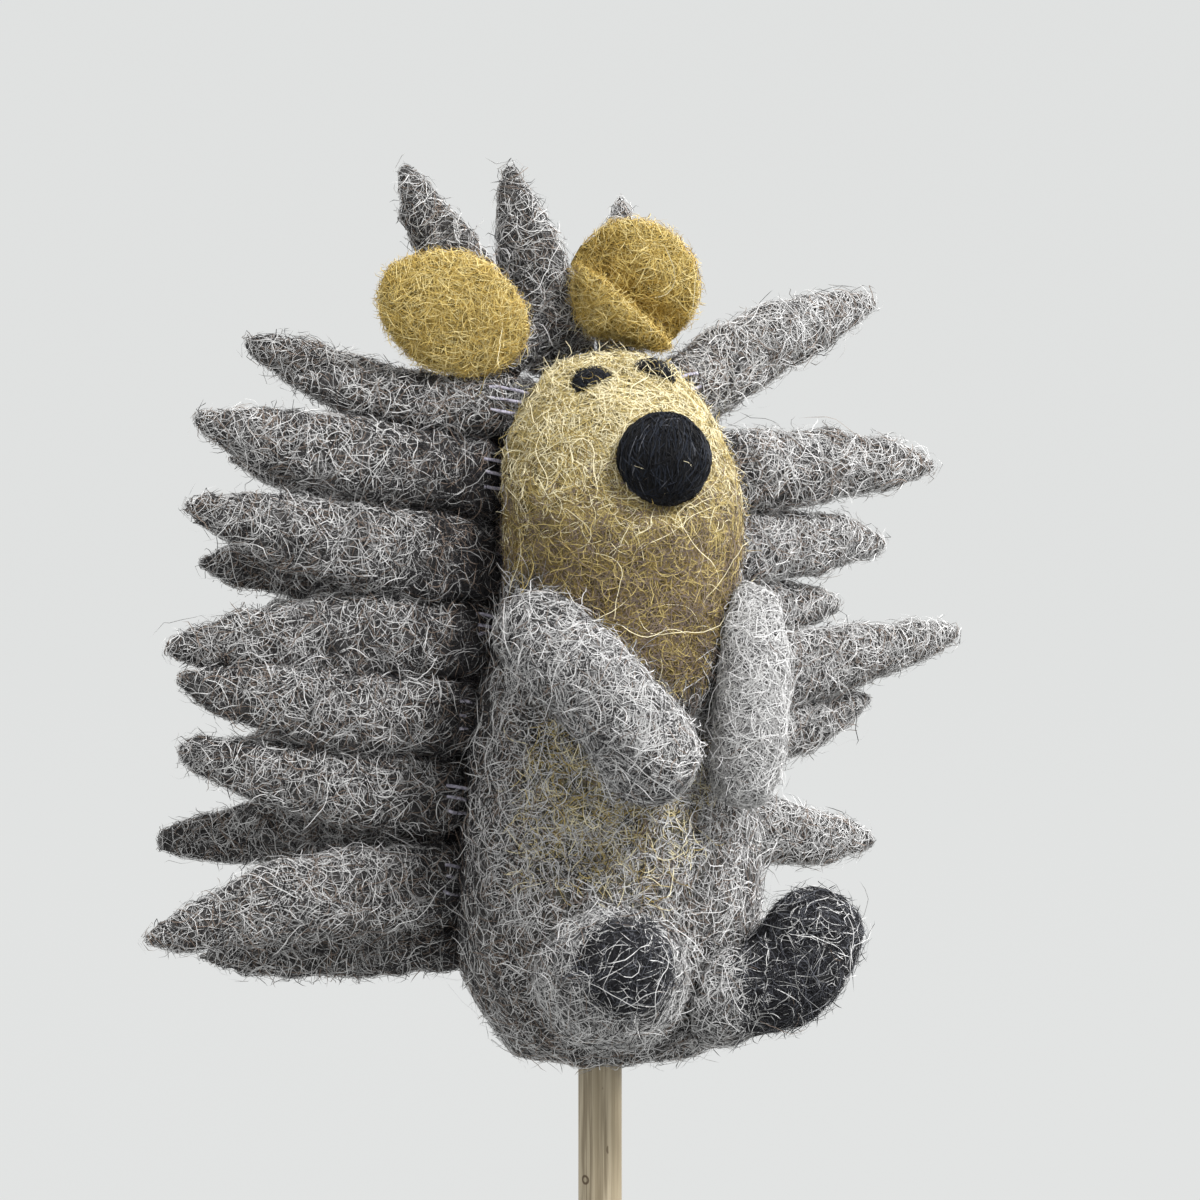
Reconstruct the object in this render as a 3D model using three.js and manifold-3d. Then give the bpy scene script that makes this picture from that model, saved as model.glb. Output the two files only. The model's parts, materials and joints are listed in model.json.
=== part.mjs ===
// A hedgehog finger puppet of felted wool, standing on a bamboo stick. Millimetres, +Z up.
//
// The body is a thick felt tube, closed at the head and open below, so that a finger fits inside.
// A beige felt cap makes the head and throat. The nose, eyes, ears, arms and legs are separate pieces
// of felted wool, and forty spikes are sewn on in rows down the sides and the back and over the crown.
// A wad of loose wool fills the top of the finger pocket and grips the tip of the stick.
//
// The puppet faces -Y and its own left hand is at +X. Heights are from the hem at the pocket's mouth
// until the end, where the whole part is lifted so that its origin is the lower end of the stick.

import * as THREE from "three";
import { mergeVertices } from "three/addons/utils/BufferGeometryUtils.js";
import Module from "manifold-3d";

const wasm = await Module();
wasm.setup();

const { degToRad, smoothstep } = THREE.MathUtils;
const at = (x, y, z) => new THREE.Vector3(x, y, z);

// ---------------------------------------------------------------- driving dimensions

const CROWN_SLOPE = 0.6; // rise of the crown for each millimetre towards the back

const BODY = {
  // half-width of the tube at each height, from the flat hem at the mouth to the closed top
  outline: [
    [0, 0],
    [10.8, 0],
    [12.4, 1.8],
    [14.8, 5],
    [16.5, 9.5],
    [17.0, 14],
    [16.8, 20],
    [16.3, 27],
    [15.6, 34],
    [14.4, 40],
    [12.4, 46],
    [11.3, 52],
    [11.2, 58],
    [10.6, 62.5],
    [9.0, 66.5],
    [5.8, 69.6],
    [0, 71],
  ],
  depthShare: 0.9, // half-depth over half-width
  bellyForward: 2.2, // how far the lower body's centre lies ahead of the pocket
  neckForward: 1.0, // and the upper body's
  sides: 28,
};

const POCKET = { mouthRadius: 8.2, topRadius: 7.8, shoulder: 61, top: 67, sides: 24 };

const HEAD = {
  halfWidth: 13,
  halfDepth: 13.4,
  forward: 4, // the head's centre lies this far ahead of the pocket
  bottom: 39,
  shoulder: 62, // the dome starts here
  dome: 13.5,
  domeRound: 0.8, // 1 is an ellipsoid, and less is squarer at its shoulders
  turn: degToRad(-5), // the face looks slightly to the puppet's right
  underCap: 6, // the uncut head tapers in this far below the cap's lower edge
  rearEdge: -0.2, // the cap ends at this Y, in front of the spikes
  sides: 28,
};

const STICK = { radius: 2.5, length: 125, top: 60, sides: 24 };
const WAD = { radius: 7.2, bottom: 48, shoulder: 58, top: 63, hole: 61 };

const NOSE = { radius: 5.3, depthShare: 0.92, height: 65.9, reach: 11.5 };
const EYE = { radius: 1.95, thickness: 0.55, aside: 4.1, proud: 0.6 };
const THREAD = { radius: 0.35, proud: 0.25, angle: 100.5, heights: [12, 20, 28, 36, 43, 50, 56, 61] };

const BEYOND = 120; // larger than the whole puppet, for blocks that cut away one side of a plane

const TOUCH_GAP = 0.3; // between pieces that are felted or sewn to each other
const FLEX_GAP = 0.9; // at the root of a piece that bends
const LEG_GAP = 1.2; // a leg's root is wider, so it needs more
const EAR_GAP = 1.1;

// ---------------------------------------------------------------- materials

const felt = (color) =>
  new THREE.MeshStandardMaterial({ color, roughness: 0.95, metalness: 0 });

const WOOL = {
  grey: felt(0x8b8681),
  paleGrey: felt(0xa3a19d),
  beige: felt(0xc0aa72),
  mustard: felt(0xb8943f),
  black: felt(0x15161b),
  charcoal: felt(0x34353b),
  loose: felt(0xb9b4aa),
};
const BAMBOO = new THREE.MeshStandardMaterial({
  color: 0xb5a888,
  roughness: 0.5,
  metalness: 0,
});
const SEWING_THREAD = new THREE.MeshStandardMaterial({
  color: 0x8f8c98,
  roughness: 0.8,
  metalness: 0,
});

// ---------------------------------------------------------------- geometry helpers

// A closed geometry as a solid for cutting.
function solidOf(geometry) {
  const bare = geometry.clone();
  bare.deleteAttribute("normal");
  bare.deleteAttribute("uv");
  const merged = mergeVertices(bare, 1e-4);
  return new wasm.Manifold(
    new wasm.Mesh({
      numProp: 3,
      vertProperties: merged.attributes.position.array,
      triVerts: new Uint32Array(merged.index.array),
    }),
  );
}

function geometryOf(solid) {
  const mesh = solid.getMesh();
  const positions = new THREE.BufferAttribute(mesh.vertProperties, 3);
  const geometry = new THREE.BufferGeometry();
  geometry.setAttribute("position", positions);
  geometry.setIndex(new THREE.BufferAttribute(mesh.triVerts, 1));
  geometry.computeVertexNormals();
  return geometry;
}

// Turns an outline of [radius, height] about +Z, then moves each point with place(x, y, z).
function turned(outline, sides, place = at) {
  const points = outline.map(([radius, height]) => new THREE.Vector2(radius, height));
  const geometry = new THREE.LatheGeometry(points, sides);
  geometry.rotateX(Math.PI / 2);
  return movedBy(geometry, place);
}

function movedBy(geometry, place) {
  const position = geometry.attributes.position;
  for (let i = 0; i < position.count; i++) {
    const moved = place(position.getX(i), position.getY(i), position.getZ(i));
    position.setXYZ(i, moved.x, moved.y, moved.z);
  }
  return geometry;
}

// A soft limb along a curve: radiusAt gives its half-width from root (0) to tip (1), and flat is its
// thickness over its width. wide is roughly the direction of its width. grow makes it larger all round.
function limb({ curve, radiusAt, flat = 1, wide = at(0, 0, 1), rings = 8, sides = 10, grow = 0 }) {
  const outline = [[0, 0]];
  for (let i = 1; i < rings; i++) {
    const share = (1 - Math.cos((Math.PI * i) / rings)) / 2;
    outline.push([radiusAt(share) + grow, share]);
  }
  outline.push([0, 1]);
  return turned(outline, sides, (x, y, height) => {
    const share = THREE.MathUtils.clamp(height, 0, 1);
    const along = curve.getTangentAt(share);
    const thin = at(0, 0, 0).crossVectors(wide, along).normalize();
    const width = at(0, 0, 0).crossVectors(along, thin);
    return curve
      .getPointAt(share)
      .addScaledVector(along, grow * (2 * share - 1))
      .addScaledVector(thin, x * flat)
      .addScaledVector(width, y);
  });
}

// A radius that is round at both ends and runs from one size to another between them.
const sausage = (root, tip, length) => (share) => {
  const size = root + (tip - root) * share;
  const fromEnd = Math.min(share, 1 - share) * length;
  return fromEnd >= size ? size : Math.sqrt(Math.max(0, 2 * size * fromEnd - fromEnd ** 2));
};

const through = (...points) => new THREE.CatmullRomCurve3(points);

// The stretch of a curve between two shares of its length.
const stretch = (curve, from, to) =>
  through(...[0, 1, 2, 3].map((i) => curve.getPointAt(from + ((to - from) * i) / 3)));

// ---------------------------------------------------------------- outer shapes of body and head

const bodyForward = (z) =>
  THREE.MathUtils.lerp(BODY.bellyForward, BODY.neckForward, smoothstep(z, 30, 50));

// The body's half-width at a height, read from its outline.
function bodyHalfWidth(z) {
  const upper = BODY.outline.findIndex(([, height], i) => i > 1 && height >= z);
  const [r1, z1] = BODY.outline[upper];
  const [r0, z0] = BODY.outline[upper - 1];
  return r0 + ((r1 - r0) * (z - z0)) / (z1 - z0);
}

// The crown rises towards the back: the height of a point after that.
const tipped = (y, z) => z + CROWN_SLOPE * y * smoothstep(z, HEAD.shoulder - 5, HEAD.shoulder + 6);

// The solid of the whole body without its pocket, grown on all sides.
function bodyShape(grow = 0) {
  const { outline } = BODY;
  const grown = outline.map(([radius, z], i) => {
    const [r0, z0] = outline[Math.max(i - 1, 0)];
    const [r1, z1] = outline[Math.min(i + 1, outline.length - 1)];
    const length = Math.hypot(r1 - r0, z1 - z0);
    return [radius ? radius + (grow * (z1 - z0)) / length : 0, z - (grow * (r1 - r0)) / length];
  });
  return turned(grown, BODY.sides, (x, y, z) =>
    at(x, y * BODY.depthShare - bodyForward(z), tipped(y, z)),
  );
}

// A point on the body at a height and at an angle from the front, towards the puppet's left.
function onBody(angle, z) {
  const a = degToRad(angle);
  const r = bodyHalfWidth(z);
  const back = -r * Math.cos(a);
  return at(r * Math.sin(a), back * BODY.depthShare - bodyForward(z), tipped(back, z));
}

// Where a point of the upright dome goes when the crown tips back and the face turns.
function headPlace(x, y, z) {
  return at(x, y, tipped(y, z))
    .applyAxisAngle(at(0, 0, 1), HEAD.turn)
    .add(at(0, -HEAD.forward, 0));
}

// A point of the head above the share (aside, back) of its half-width and half-depth, grown by grow.
function onHead(aside, back, grow = 0) {
  const rise = Math.sqrt(Math.max(0, 1 - (aside ** 2 + back ** 2) ** (1 / HEAD.domeRound)));
  return headPlace(
    aside * (HEAD.halfWidth + grow),
    back * (HEAD.halfDepth + grow),
    HEAD.shoulder + rise * (HEAD.dome + grow),
  );
}

function headShape(grow = 0) {
  const arcSteps = 8;
  const outline = [
    [0, HEAD.bottom - HEAD.underCap - grow],
    [0.9, HEAD.bottom - HEAD.underCap - grow],
    [1, HEAD.bottom + 4],
    [1, HEAD.shoulder - 10],
  ];
  for (let i = 0; i < arcSteps; i++) {
    const a = (Math.PI / 2) * (i / arcSteps);
    outline.push([Math.cos(a) ** HEAD.domeRound, HEAD.shoulder + Math.sin(a) * (HEAD.dome + grow)]);
  }
  outline.push([0, HEAD.shoulder + HEAD.dome + grow]);
  return turned(outline, HEAD.sides, (x, y, z) =>
    headPlace(x * (HEAD.halfWidth + grow), y * (HEAD.halfDepth + grow), z),
  );
}

const skin = (grow) => solidOf(bodyShape(grow)).add(solidOf(headShape(grow)));
const flexSkin = skin(FLEX_GAP);

// ---------------------------------------------------------------- the group and its pieces

const puppet = new THREE.Group();

function addPiece(name, geometry, material, parent = puppet) {
  const mesh = new THREE.Mesh(geometry, material);
  mesh.name = name;
  parent.add(mesh);
  return mesh;
}

// Cuts a placed mesh back from a solid in the puppet's frame, and keeps its position and rotation.
function cutBack(mesh, solid) {
  puppet.updateMatrixWorld(true);
  const placed = mesh.geometry.clone().applyMatrix4(mesh.matrixWorld);
  const cut = solidOf(placed).subtract(solid);
  mesh.geometry = geometryOf(cut).applyMatrix4(mesh.matrixWorld.clone().invert());
  return mesh;
}

// ---------------------------------------------------------------- body, head and what is inside

function makeBody() {
  const pocket = turned(
    [
      [0, -1],
      [POCKET.mouthRadius, -1],
      [POCKET.topRadius, POCKET.shoulder],
      [POCKET.topRadius * 0.7, POCKET.top - 1.5],
      [0, POCKET.top],
    ],
    POCKET.sides,
    (x, y, z) => at(x, y, tipped(y, z)),
  );
  const tube = solidOf(bodyShape()).subtract(solidOf(pocket));
  addPiece("body_tube", geometryOf(tube), WOOL.grey);
}

function makeFaceCap() {
  const block = new THREE.BoxGeometry(BEYOND, BEYOND, BEYOND);
  const behind = block.clone().translate(0, BEYOND / 2 + HEAD.rearEdge, BEYOND / 2);
  const below = block.clone().translate(0, 0, HEAD.bottom - BEYOND / 2);
  const cap = solidOf(headShape())
    .subtract(solidOf(bodyShape(TOUCH_GAP)))
    .subtract(solidOf(behind))
    .subtract(solidOf(below));
  addPiece("face_cap", geometryOf(cap), WOOL.beige);
}

function makeNose() {
  const ball = new THREE.SphereGeometry(NOSE.radius, 16, 10).scale(1, NOSE.depthShare, 1);
  const nose = addPiece("nose", ball, WOOL.black);
  nose.position.set(0, -NOSE.reach, NOSE.height).applyAxisAngle(at(0, 0, 1), HEAD.turn);
  nose.position.y -= HEAD.forward;
  cutBack(nose, solidOf(headShape(TOUCH_GAP)));
}

// A flat spot that lies on the forehead, forward of the middle of the head.
function makeEye(name, side, forward) {
  const spot = new THREE.SphereGeometry(EYE.radius, 12, 8).scale(1, 1, EYE.thickness);
  const aside = (side * EYE.aside) / HEAD.halfWidth;
  const back = -forward / HEAD.halfDepth;
  const eye = addPiece(name, spot, WOOL.black);
  eye.position.copy(onHead(aside, back, EYE.proud / 2));
  const left = onHead(aside + 0.05, back).sub(onHead(aside - 0.05, back));
  const rear = onHead(aside, back + 0.05).sub(onHead(aside, back - 0.05));
  const up = at(0, 0, 0).crossVectors(left, rear).normalize();
  eye.quaternion.setFromUnitVectors(at(0, 0, 1), up);
  cutBack(eye, skin(TOUCH_GAP));
}

function makeWad() {
  const clearance = STICK.radius + TOUCH_GAP;
  const outline = [
    [clearance, WAD.bottom],
    [WAD.radius - 1, WAD.bottom],
    [WAD.radius, WAD.bottom + 3],
    [WAD.radius, WAD.shoulder],
    [WAD.radius * 0.6, WAD.top - 1],
    [0, WAD.top],
    [0, WAD.hole],
    [clearance, WAD.hole],
    [clearance, WAD.bottom],
  ];
  addPiece("wool_wad", turned(outline, POCKET.sides), WOOL.loose);
}

function makeStick() {
  const rod = new THREE.CylinderGeometry(STICK.radius, STICK.radius, STICK.length, STICK.sides);
  const stick = addPiece("stick", rod.rotateX(Math.PI / 2), BAMBOO);
  stick.position.z = STICK.top - STICK.length / 2;
}

// ---------------------------------------------------------------- ears, arms and legs

// Each ear is a soft disc on a narrow root. root and tip are on its middle line.
function makeEar(name, root, tip, halfWidth, wide) {
  const disc = limb({
    curve: through(root, root.clone().lerp(tip, 0.5), tip),
    radiusAt: (share) => halfWidth * Math.sqrt(Math.sin(Math.PI * share)),
    flat: 0.33,
    wide,
    rings: 9,
    sides: 14,
  });
  cutBack(addPiece(name, disc, WOOL.mustard), skin(EAR_GAP));
}

function makeArm(name, points, shoulderRadius, pawRadius) {
  const curve = through(...points);
  const arm = limb({
    curve,
    radiusAt: sausage(shoulderRadius, pawRadius, curve.getLength()),
    rings: 11,
    sides: 12,
  });
  cutBack(addPiece(name, arm, WOOL.paleGrey), skin(FLEX_GAP));
}

// A leg is a grey stub, and the charcoal foot covers its end and may turn up beyond it.
function makeLeg({ side, points, footFrom, legRadius, cuffRadius, footRadius }) {
  const curve = through(...points);
  const legCurve = stretch(curve, 0, footFrom + 0.2);
  const footCurve = stretch(curve, footFrom, 1);
  const leg = limb({
    curve: legCurve,
    radiusAt: sausage(legRadius, cuffRadius, legCurve.getLength()),
    sides: 14,
  });
  const foot = (grow) =>
    limb({
      curve: footCurve,
      radiusAt: sausage(footRadius, footRadius * 0.95, footCurve.getLength()),
      sides: 14,
      rings: 10,
      grow,
    });
  const legRoom = skin(LEG_GAP);
  cutBack(addPiece(`foot_${side}`, foot(0), WOOL.charcoal), legRoom);
  cutBack(
    addPiece(`leg_${side}`, leg, WOOL.paleGrey),
    legRoom.add(solidOf(foot(TOUCH_GAP))),
  );
}

// ---------------------------------------------------------------- spikes

// A felt leaf along +X: round at the sewn root, widest before the middle, pointed at the tip.
// sag lifts (or, below zero, drops) the tip out of line, as hand-felted pieces do.
function leaf(length, halfHeight, sag) {
  const shape = (share) => {
    const swell = Math.sin(Math.PI * Math.min(1, 0.16 + 0.84 * share) ** 0.9);
    return halfHeight * swell ** 0.6;
  };
  const curve = through(at(0, 0, 0), at(length / 2, 0, -sag / 2), at(length, 0, sag / 2));
  return limb({ curve, radiusAt: shape, flat: 0.6, rings: 7, sides: 8 });
}

// Each row runs down the body at an angle from the front. Each spike has its root's height, the lift
// of its tip in degrees, its sweep towards the back in degrees from straight out sideways, its length,
// its half-height at its widest and its sag.
const SIDE_ROWS = {
  right_front: {
    angle: -116,
    spikes: [
      { z: 69.2, lift: 6, sweep: 16, length: 28.5, size: 3.2, sag: 1 },
      { z: 61.9, lift: 10.5, sweep: 5, length: 38, size: 4.1, sag: 1 },
      { z: 54.0, lift: 10, sweep: 4, length: 38, size: 4.6, sag: 1.5 },
      { z: 45.6, lift: 1, sweep: 8, length: 38, size: 4.5, sag: -1 },
      { z: 37.0, lift: 8, sweep: 4, length: 36, size: 4.2, sag: 1.5 },
      { z: 28.4, lift: 10, sweep: 8, length: 34.5, size: 4.0, sag: 1.5 },
      { z: 18.8, lift: -5, sweep: 5, length: 37, size: 4.4, sag: -2 },
    ],
  },
  left_front: {
    angle: 116,
    spikes: [
      { z: 67.4, lift: 23, sweep: 8, length: 37, size: 4.0, sag: -2 },
      { z: 61.4, lift: 2, sweep: 4, length: 39.5, size: 4.4, sag: -1 },
      { z: 54.0, lift: 1, sweep: 8, length: 34, size: 4.0, sag: -1 },
      { z: 46.6, lift: 2, sweep: 13, length: 28, size: 3.4, sag: -1 },
      { z: 39.0, lift: 6, sweep: 3, length: 40.5, size: 3.8, sag: 0.5 },
      { z: 31.2, lift: 9, sweep: 9, length: 28, size: 3.6, sag: 0.5 },
      { z: 23.8, lift: -11, sweep: 3, length: 26, size: 3.6, sag: 0.5 },
    ],
  },
  right_mid: {
    angle: -138,
    spikes: [
      { z: 64.2, lift: 19, sweep: 27, length: 33, size: 3.5, sag: 1 },
      { z: 52.0, lift: 3, sweep: 26, length: 35, size: 4.1, sag: 0.5 },
      { z: 38.0, lift: 4, sweep: 28, length: 33, size: 4.1, sag: -0.5 },
      { z: 24.0, lift: -1, sweep: 24, length: 36, size: 3.9, sag: -1 },
      { z: 11.5, lift: -2, sweep: 22, length: 31, size: 3.7, sag: -1 },
    ],
  },
  left_mid: {
    angle: 138,
    spikes: [
      { z: 64.0, lift: 12, sweep: 32, length: 31, size: 3.7, sag: -1 },
      { z: 51.5, lift: -2, sweep: 30, length: 34, size: 4.0, sag: -1 },
      { z: 38.0, lift: -5, sweep: 28, length: 33, size: 4.1, sag: 0.5 },
      { z: 25.0, lift: -4, sweep: 42, length: 31, size: 3.9, sag: 0.5 },
      { z: 12.5, lift: -6, sweep: 55, length: 28, size: 3.7, sag: -1 },
    ],
  },
  right_rear: {
    angle: -160,
    spikes: [
      { z: 59.0, lift: 9, sweep: 46, length: 37, size: 4.3, sag: -1 },
      { z: 44.6, lift: 2, sweep: 47, length: 37, size: 4.4, sag: -1 },
      { z: 31.0, lift: -1, sweep: 47, length: 37, size: 4.3, sag: -1 },
      { z: 16.5, lift: -9, sweep: 48, length: 34, size: 4.0, sag: -1 },
    ],
  },
  left_rear: {
    angle: 160,
    spikes: [
      { z: 58.0, lift: 8, sweep: 57, length: 31, size: 4.0, sag: -1 },
      { z: 44.5, lift: -1, sweep: 55, length: 32, size: 4.2, sag: -1 },
      { z: 31.5, lift: -6, sweep: 58, length: 31, size: 4.2, sag: -1 },
      { z: 18.5, lift: -13, sweep: 68, length: 28, size: 4.0, sag: -1 },
    ],
  },
  back: {
    angle: 180,
    spikes: [
      { z: 63.0, lift: 14, sweep: 88, length: 29, size: 3.9, sag: -1 },
      { z: 51.5, lift: 5, sweep: 92, length: 31, size: 4.2, sag: -1 },
      { z: 38.0, lift: -6, sweep: 89, length: 31, size: 4.2, sag: -1 },
      { z: 24.0, lift: -14, sweep: 91, length: 29, size: 4.0, sag: -1 },
    ],
  },
};

const CROWN = [
  { root: at(-5.6, 4.6, 73), tip: at(-18.6, 13.2, 98), size: 4.0 },
  { root: at(-0.6, 6.4, 74), tip: at(-5.6, 12.0, 98.4), size: 4.1 },
  { root: at(6.2, 6.2, 73), tip: at(12.2, 16.5, 94.8), size: 3.6 },
  { root: at(2.4, 8.4, 73), tip: at(4.2, 24.5, 95), size: 3.6 },
];

const ROOT_INSIDE = 2.5; // how far a spike's middle line starts inside the body before it is cut

function addSpike(name, root, direction, length, size, sag) {
  const spike = addPiece(name, leaf(length + ROOT_INSIDE, size, sag), WOOL.grey);
  const side = at(0, 0, 0).crossVectors(at(0, 0, 1), direction).normalize();
  const top = at(0, 0, 0).crossVectors(direction, side);
  spike.quaternion.setFromRotationMatrix(new THREE.Matrix4().makeBasis(direction, side, top));
  spike.position.copy(root).addScaledVector(direction, -ROOT_INSIDE);
  return cutBack(spike, flexSkin);
}

function makeSideRow(row, { angle, spikes }) {
  spikes.forEach(({ z, lift, sweep, length, size, sag }, i) => {
    const outward = angle < 0 ? -1 : 1;
    const level = Math.cos(degToRad(lift));
    const direction = at(
      outward * Math.cos(degToRad(sweep)) * level,
      Math.sin(degToRad(sweep)) * level,
      Math.sin(degToRad(lift)),
    );
    addSpike(`spike_${row}_${i + 1}`, onBody(angle, z), direction, length, size, sag);
  });
}

function makeCrown() {
  CROWN.forEach(({ root, tip, size }, i) => {
    const direction = tip.clone().sub(root);
    const length = direction.length();
    direction.normalize();
    addSpike(`spike_crown_${i + 1}`, root, direction, length, size, 1);
  });
}

// The thread that sews a front row on lies along the roots, just in front of them.
function makeThread(name, angle) {
  const { radius, proud, heights } = THREAD;
  const clear = heights.map((z) => {
    const point = onBody(angle, z);
    const outwards = at(point.x, point.y + bodyForward(z), 0).normalize();
    return point.addScaledVector(outwards, radius + TOUCH_GAP + proud);
  });
  const section = new THREE.Shape().absarc(0, 0, radius, 0, 2 * Math.PI);
  const thread = new THREE.ExtrudeGeometry(section, {
    steps: 18,
    curveSegments: 3,
    extrudePath: through(...clear),
  });
  addPiece(name, thread, SEWING_THREAD);
}

// ---------------------------------------------------------------- assembly

makeBody();
makeFaceCap();
makeNose();
makeEye("eye_right", -1, 1.8);
makeEye("eye_left", 1, 0.6);
makeWad();
makeStick();

makeEar("ear_right", at(-9.4, 0.2, 77.8), at(-26.0, 2.4, 85.2), 6.7, at(-0.3, 0.3, -1));
makeEar("ear_left", at(7.4, 1.0, 77.0), at(4.2, 2.6, 92.2), 7.6, at(1, -0.3, 0.3));

makeArm(
  "arm_right",
  [at(-14.2, -7.0, 49.0), at(-13.6, -15.2, 45.4), at(-9.6, -20.4, 39.8), at(-3.6, -22.0, 30.6)],
  4.8,
  5.5,
);
makeArm(
  "arm_left",
  [at(10.0, -13.2, 51.4), at(8.8, -17.6, 45.0), at(7.2, -20.0, 37.0), at(5.2, -20.6, 28.4)],
  4.0,
  3.8,
);
makeLeg({
  side: "right",
  points: [at(-4.6, -6.0, 10.4), at(-5.8, -11.0, 10.6), at(-7.4, -17.0, 11.6), at(-9.0, -22.8, 12.6)],
  footFrom: 0.7,
  legRadius: 9.2,
  cuffRadius: 8.6,
  footRadius: 5.7,
});
makeLeg({
  side: "left",
  points: [at(3.0, -9.0, 9.0), at(8.6, -15.4, 7.8), at(13.4, -18.8, 9.6), at(17.2, -20.2, 18.2)],
  footFrom: 0.3,
  legRadius: 7.4,
  cuffRadius: 6.4,
  footRadius: 5.5,
});

for (const [row, layout] of Object.entries(SIDE_ROWS)) makeSideRow(row, layout);
makeCrown();
makeThread("thread_right", -THREAD.angle);
makeThread("thread_left", THREAD.angle);

puppet.position.z = STICK.length - STICK.top;

export default puppet;
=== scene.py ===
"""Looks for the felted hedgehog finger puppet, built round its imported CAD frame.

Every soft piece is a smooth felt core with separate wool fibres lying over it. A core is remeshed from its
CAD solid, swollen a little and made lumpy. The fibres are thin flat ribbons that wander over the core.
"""

import json
import math

import bpy
import numpy as np
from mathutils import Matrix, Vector, noise
from mathutils.bvhtree import BVHTree


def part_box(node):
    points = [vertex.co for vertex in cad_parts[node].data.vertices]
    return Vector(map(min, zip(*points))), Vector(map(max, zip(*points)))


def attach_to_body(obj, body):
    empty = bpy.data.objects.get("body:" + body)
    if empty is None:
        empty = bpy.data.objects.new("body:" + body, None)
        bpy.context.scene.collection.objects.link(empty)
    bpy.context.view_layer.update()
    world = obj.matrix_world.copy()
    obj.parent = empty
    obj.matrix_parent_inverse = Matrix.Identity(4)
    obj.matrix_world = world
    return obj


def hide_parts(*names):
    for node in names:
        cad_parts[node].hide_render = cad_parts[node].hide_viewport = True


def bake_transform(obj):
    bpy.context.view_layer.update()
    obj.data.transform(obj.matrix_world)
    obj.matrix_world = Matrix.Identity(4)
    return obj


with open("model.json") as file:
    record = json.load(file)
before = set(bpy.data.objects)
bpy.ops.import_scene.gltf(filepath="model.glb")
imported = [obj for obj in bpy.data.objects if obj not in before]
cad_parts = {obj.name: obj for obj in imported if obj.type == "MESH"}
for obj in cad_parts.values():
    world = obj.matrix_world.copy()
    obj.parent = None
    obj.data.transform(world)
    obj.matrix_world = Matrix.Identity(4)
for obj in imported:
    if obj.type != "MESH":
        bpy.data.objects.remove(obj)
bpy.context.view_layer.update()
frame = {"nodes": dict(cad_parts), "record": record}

MM = 0.001
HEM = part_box("body_tube")[0].z  # height of the finger pocket's mouth

CAMERA_AZIMUTH = math.radians(-30)
CAMERA_ELEVATION = math.radians(4.5)
CAMERA_LENS = 120
SENSOR = 36
WIDTH_SEEN = 133.2 * MM
AIM_HEIGHT = HEM + 49.7 * MM

# Linear colours. A tone is the felt seen between the fibres, and a palette is fibre colours with their
# shares, from light to dark.
GREY_TONE = (0.080, 0.076, 0.074)
PALE_TONE = (0.130, 0.128, 0.128)
# Pale felt made lighter as painted light, for the left arm.
PAINTED_LIGHT_PALE_TONE = (0.210, 0.205, 0.202)
# Dark wool deepened by painted shade, for the skin between the spikes and for the spikes' roots.
DARK_WOOL_AND_SHADE_TONE = (0.022, 0.018, 0.018)
BLUSH_TONE = (0.190, 0.175, 0.095)
CREAM_TONE = (0.440, 0.365, 0.170)
OCHRE_TONE = (0.200, 0.142, 0.045)
MUSTARD_TONE = (0.400, 0.290, 0.078)
# Mustard deepened to orange as painted shade, for the ear's hollow by its crease.
HOLLOW_SHADE_TONE = (0.260, 0.150, 0.022)
COAL_TONE = (0.008, 0.008, 0.011)
LOOSE_TONE = (0.420, 0.405, 0.375)

SILVER = (0.560, 0.555, 0.550)
ASH = (0.300, 0.296, 0.294)
UMBER = (0.170, 0.130, 0.105)
SOOT = (0.022, 0.021, 0.023)
SLATE = (0.075, 0.078, 0.090)
CREAM = (0.740, 0.665, 0.440)
STRAW = (0.450, 0.355, 0.140)
OCHRE = (0.215, 0.150, 0.044)

GREY_WOOL = {"silver": (SILVER, 0.44), "ash": (ASH, 0.26), "umber": (UMBER, 0.14), "soot": (SOOT, 0.16)}
PALE_WOOL = {"silver": (SILVER, 0.60), "ash": (ASH, 0.24), "umber": (UMBER, 0.06), "soot": (SOOT, 0.10)}
BEIGE_WOOL = {"cream": (CREAM, 0.44), "straw": (STRAW, 0.36), "ochre": (OCHRE, 0.15), "umber": (UMBER, 0.05)}
MUSTARD_WOOL = {
    "pale_honey": ((0.700, 0.580, 0.270), 0.30),
    "honey": ((0.560, 0.420, 0.135), 0.42),
    "mustard": ((0.400, 0.270, 0.060), 0.28),
}
COAL_WOOL = {"silver": (SILVER, 0.13), "slate": (SLATE, 0.27), "coal": ((0.012, 0.012, 0.015), 0.60)}
BLACK_WOOL = {
    "slate": (SLATE, 0.03),
    "navy": ((0.011, 0.014, 0.022), 0.40),
    "jet": ((0.003, 0.003, 0.004), 0.57),
}
LOOSE_WOOL = {"cloud": ((0.640, 0.620, 0.580), 0.70), "ash": (ASH, 0.30)}

# How far out from its root each kind of piece's far point lies, in mm.
ARM_BEND = 14
LEG_BEND = 9
EAR_BEND = 5
SPIKE_BEND = 6

CREASE = math.radians(41)  # how far the crease across the cupped ear is from level
POCKET_RADIUS = 8.9  # just outside the pocket's wall, in mm
POCKET_TOP = 66
STITCH_POINTS = 9  # points along one stitch
STITCH_RADIUS = 0.19 * MM
DENSITY = 1.0

rng = np.random.default_rng(20)


# ------------------------------------------------------------------ helpers for points and objects


def unit(vectors):
    return vectors / np.maximum(np.linalg.norm(vectors, axis=-1, keepdims=True), 1e-12)


def long_way(points):
    """The direction in which some points reach furthest, either way round."""
    return np.linalg.svd(points - points.mean(axis=0), full_matrices=False)[2][0]


def smooth_share(value, low, high):
    """0 at low and 1 at high, with a smooth turn between them. low may be the larger."""
    t = np.clip((value - low) / (high - low), 0, 1)
    return t * t * (3 - 2 * t)


def mixed(share, a, b):
    return np.asarray(a) + (np.asarray(b) - np.asarray(a)) * share[:, None]


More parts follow.
